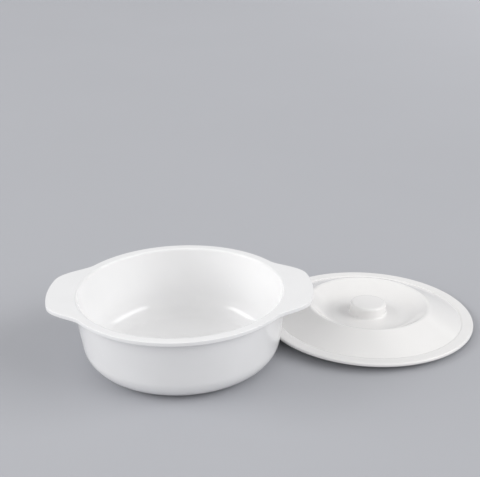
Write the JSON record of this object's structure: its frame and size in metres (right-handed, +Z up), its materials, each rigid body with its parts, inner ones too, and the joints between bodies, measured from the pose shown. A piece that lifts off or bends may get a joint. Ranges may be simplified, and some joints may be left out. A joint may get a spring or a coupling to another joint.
{
  "type": "soup bowl with lid",
  "caption": "Round white soup bowl with lug handles drawn out of its rim and a loose lid with a finger knob in its dished top, the lid lying beside the bowl.",
  "frame": {"origin": "middle of the bowl's flat base, on the table", "axes": "+X along the lug handles, towards the side where the lid lies; +Y away from the viewer of the picture; +Z up, along the bowl's axis"},
  "size_m": [0.3917, 0.2563, 0.0663],
  "materials": {
    "bowl_white": "polished melamine moulding, neutral white",
    "lid_white": "polished melamine moulding, slightly warm white"
  },
  "bodies": {
    "bowl": {"bowl": "bowl_white"},
    "lid": {"lid": "lid_white"}
  },
  "joints": [
    {"name": "lid_lift", "type": "slide", "parent": "bowl", "child": "lid", "axis": [0.6725, 0.2185, 0.7071], "range_m": [0, 0.12]}
  ]
}
